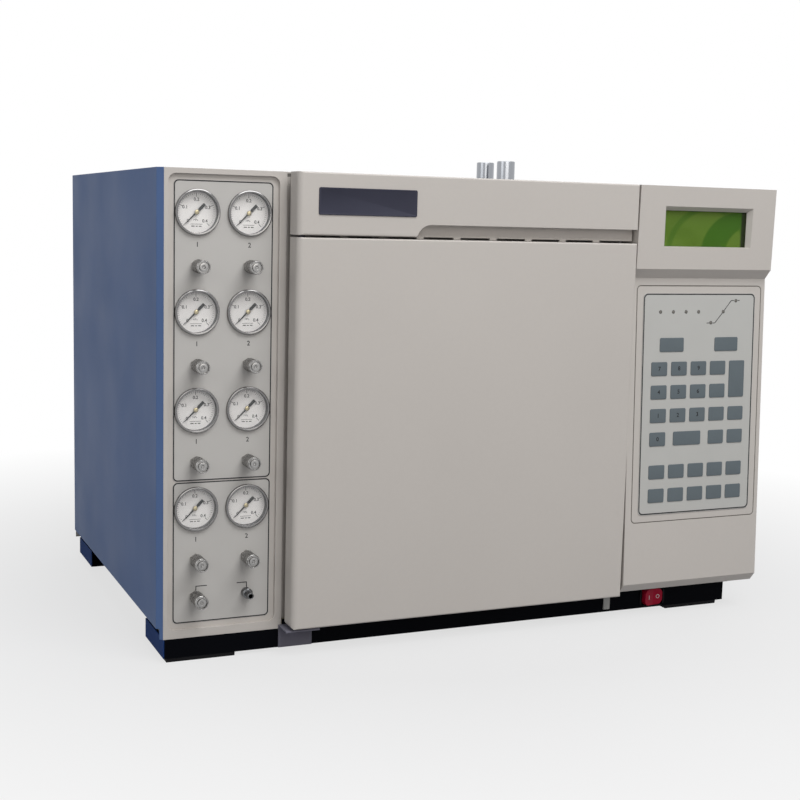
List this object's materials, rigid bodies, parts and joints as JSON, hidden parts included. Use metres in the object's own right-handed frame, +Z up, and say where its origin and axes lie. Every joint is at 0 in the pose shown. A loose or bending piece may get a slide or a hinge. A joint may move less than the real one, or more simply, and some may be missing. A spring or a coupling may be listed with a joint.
{
  "type": "gas chromatograph",
  "caption": "Bench-top gas chromatograph with a gauge and valve panel, a column oven behind a hinged door, and a control column with display, keypad and mains switch.",
  "frame": {"origin": "middle of the instrument's footprint at the height of the bench it stands on", "axes": "+X to the instrument's right as its user faces it, +Y to its back, +Z up"},
  "size_m": [0.6586, 0.4778, 0.4828],
  "materials": {
    "black_paint": "satin black powder coat",
    "pad_rubber": "matt",
    "zinc_sheet": "zinc plated",
    "blue_paint": "satin powder coat",
    "beige_paint": "fine textured powder coat",
    "grey_paint": "satin powder coat",
    "printed_film": "matt printed film",
    "gauge_steel": "bright",
    "bezel_steel": "polished",
    "dial_white": "matt white",
    "gauge_glass": "clear",
    "pointer_black": "matt black",
    "valve_nickel": "nickel plated",
    "knob_metal": "knurled",
    "line_steel": "drawn tube",
    "stainless": "brushed",
    "seal_silicone": "soft silicone",
    "bracket_grey": "satin grey",
    "mineral_wool": "felted wool",
    "fan_aluminium": "plain",
    "heater_alloy": "oxidised",
    "motor_paint": "satin",
    "detector_chrome": "polished",
    "injector_steel": "turned",
    "beige_moulding": "fine textured",
    "keypad_film": "printed film",
    "window_tint": "clear acrylic",
    "display_green": "display",
    "board_green": "solder mask",
    "rocker_red": "moulded",
    "black_plastic": "moulded"
  },
  "bodies": {
    "cabinet": {"base_rails": "black_paint", "rubber_pads": "pad_rubber", "base_tray": "zinc_sheet", "partition_walls": "zinc_sheet", "left_side_panel": "blue_paint", "right_side_panel": "blue_paint", "rear_panel": "grey_paint", "top_cover": "beige_paint", "top_deck": "stainless", "gas_box_frame": "beige_paint", "gauge_panel": "beige_paint", "panel_films": "printed_film", "gauge_cases": "gauge_steel", "gauge_bezels": "bezel_steel", "gauge_dials": "dial_white", "gauge_lenses": "gauge_glass", "needle_valves": "valve_nickel", "vent_nozzle": "gauge_steel", "gas_lines": "line_steel", "fascia": "beige_paint", "oven_front_frame": "beige_paint", "door_brackets": "bracket_grey", "oven_liner": "stainless", "oven_insulation": "mineral_wool", "air_baffle": "stainless", "oven_heater": "heater_alloy", "packed_columns": "line_steel", "fan_motor": "motor_paint", "detectors": "detector_chrome", "injectors": "injector_steel", "control_housing": "beige_moulding", "keypad": "keypad_film", "display_window": "window_tint", "display_module": "display_green", "control_board": "board_green", "switch_bezel": "black_plastic", "power_inlet": "black_plastic"},
    "door": {"door_skin": "beige_paint", "door_liner": "stainless", "door_seal": "seal_silicone"},
    "oven_fan": {"fan_wheel": "fan_aluminium"},
    "flap": {"exhaust_flap": "fan_aluminium"},
    "rocker": {"power_rocker": "rocker_red"},
    "knob_1": {"valve_knob_1": "knob_metal"},
    "knob_2": {"valve_knob_2": "knob_metal"},
    "knob_3": {"valve_knob_3": "knob_metal"},
    "knob_4": {"valve_knob_4": "knob_metal"},
    "knob_5": {"valve_knob_5": "knob_metal"},
    "knob_6": {"valve_knob_6": "knob_metal"},
    "knob_7": {"valve_knob_7": "knob_metal"},
    "knob_8": {"valve_knob_8": "knob_metal"},
    "knob_9": {"valve_knob_9": "knob_metal"},
    "pointer_1": {"gauge_pointer_1": "pointer_black"},
    "pointer_2": {"gauge_pointer_2": "pointer_black"},
    "pointer_3": {"gauge_pointer_3": "pointer_black"},
    "pointer_4": {"gauge_pointer_4": "pointer_black"},
    "pointer_5": {"gauge_pointer_5": "pointer_black"},
    "pointer_6": {"gauge_pointer_6": "pointer_black"},
    "pointer_7": {"gauge_pointer_7": "pointer_black"},
    "pointer_8": {"gauge_pointer_8": "pointer_black"}
  },
  "joints": [
    {"name": "door_hinge", "type": "hinge", "parent": "cabinet", "child": "door", "pos_m": [-0.19835, -0.2231, 0.213], "axis": [0, 0, -1], "range_deg": [0, 110]},
    {"name": "fan_spin", "type": "hinge", "parent": "cabinet", "child": "oven_fan", "pos_m": [-0.02435, 0.0609, 0.213], "axis": [0, 1, 0], "continuous": true},
    {"name": "flap_swing", "type": "hinge", "parent": "cabinet", "child": "flap", "pos_m": [0.09095, 0.22395, 0.358], "axis": [1, 0, 0], "range_deg": [0, 55]},
    {"name": "rocker_tilt", "type": "hinge", "parent": "cabinet", "child": "rocker", "pos_m": [0.21625, -0.2051, 0.0156], "axis": [0, 0, 1], "range_deg": [-18, 0]},
    {"name": "knob_1_turn", "type": "hinge", "parent": "cabinet", "child": "knob_1", "pos_m": [-0.29235, -0.2091, 0.3696], "axis": [0, 1, 0], "range_deg": [-1710, 0]},
    {"name": "knob_2_turn", "type": "hinge", "parent": "cabinet", "child": "knob_2", "pos_m": [-0.24315, -0.2091, 0.3696], "axis": [0, 1, 0], "range_deg": [-1710, 0]},
    {"name": "knob_3_turn", "type": "hinge", "parent": "cabinet", "child": "knob_3", "pos_m": [-0.29235, -0.2091, 0.2791], "axis": [0, 1, 0], "range_deg": [-1710, 0]},
    {"name": "knob_4_turn", "type": "hinge", "parent": "cabinet", "child": "knob_4", "pos_m": [-0.24315, -0.2091, 0.2791], "axis": [0, 1, 0], "range_deg": [-1710, 0]},
    {"name": "knob_5_turn", "type": "hinge", "parent": "cabinet", "child": "knob_5", "pos_m": [-0.29235, -0.2091, 0.1886], "axis": [0, 1, 0], "range_deg": [-1710, 0]},
    {"name": "knob_6_turn", "type": "hinge", "parent": "cabinet", "child": "knob_6", "pos_m": [-0.24315, -0.2091, 0.1886], "axis": [0, 1, 0], "range_deg": [-1710, 0]},
    {"name": "knob_7_turn", "type": "hinge", "parent": "cabinet", "child": "knob_7", "pos_m": [-0.29235, -0.2091, 0.096], "axis": [0, 1, 0], "range_deg": [-1710, 0]},
    {"name": "knob_8_turn", "type": "hinge", "parent": "cabinet", "child": "knob_8", "pos_m": [-0.24315, -0.2091, 0.096], "axis": [0, 1, 0], "range_deg": [-1710, 0]},
    {"name": "knob_9_turn", "type": "hinge", "parent": "cabinet", "child": "knob_9", "pos_m": [-0.29235, -0.2091, 0.0607], "axis": [0, 1, 0], "range_deg": [-1710, 0]},
    {"name": "pointer_1_turn", "type": "hinge", "parent": "cabinet", "child": "pointer_1", "pos_m": [-0.29235, -0.2036, 0.4182], "axis": [0, 1, 0], "range_deg": [0, 270], "stiffness_Nm_per_rad": 0.0001, "springref_deg": -11.46},
    {"name": "pointer_2_turn", "type": "hinge", "parent": "cabinet", "child": "pointer_2", "pos_m": [-0.24315, -0.2036, 0.4182], "axis": [0, 1, 0], "range_deg": [0, 270], "stiffness_Nm_per_rad": 0.0001, "springref_deg": -11.46},
    {"name": "pointer_3_turn", "type": "hinge", "parent": "cabinet", "child": "pointer_3", "pos_m": [-0.29235, -0.2036, 0.3277], "axis": [0, 1, 0], "range_deg": [0, 270], "stiffness_Nm_per_rad": 0.0001, "springref_deg": -11.46},
    {"name": "pointer_4_turn", "type": "hinge", "parent": "cabinet", "child": "pointer_4", "pos_m": [-0.24315, -0.2036, 0.3277], "axis": [0, 1, 0], "range_deg": [0, 270], "stiffness_Nm_per_rad": 0.0001, "springref_deg": -11.46},
    {"name": "pointer_5_turn", "type": "hinge", "parent": "cabinet", "child": "pointer_5", "pos_m": [-0.29235, -0.2036, 0.2372], "axis": [0, 1, 0], "range_deg": [0, 270], "stiffness_Nm_per_rad": 0.0001, "springref_deg": -11.46},
    {"name": "pointer_6_turn", "type": "hinge", "parent": "cabinet", "child": "pointer_6", "pos_m": [-0.24315, -0.2036, 0.2372], "axis": [0, 1, 0], "range_deg": [0, 270], "stiffness_Nm_per_rad": 0.0001, "springref_deg": -11.46},
    {"name": "pointer_7_turn", "type": "hinge", "parent": "cabinet", "child": "pointer_7", "pos_m": [-0.29235, -0.2036, 0.1446], "axis": [0, 1, 0], "range_deg": [0, 270], "stiffness_Nm_per_rad": 0.0001, "springref_deg": -11.46},
    {"name": "pointer_8_turn", "type": "hinge", "parent": "cabinet", "child": "pointer_8", "pos_m": [-0.24315, -0.2036, 0.1446], "axis": [0, 1, 0], "range_deg": [0, 270], "stiffness_Nm_per_rad": 0.0001, "springref_deg": -11.46}
  ]
}
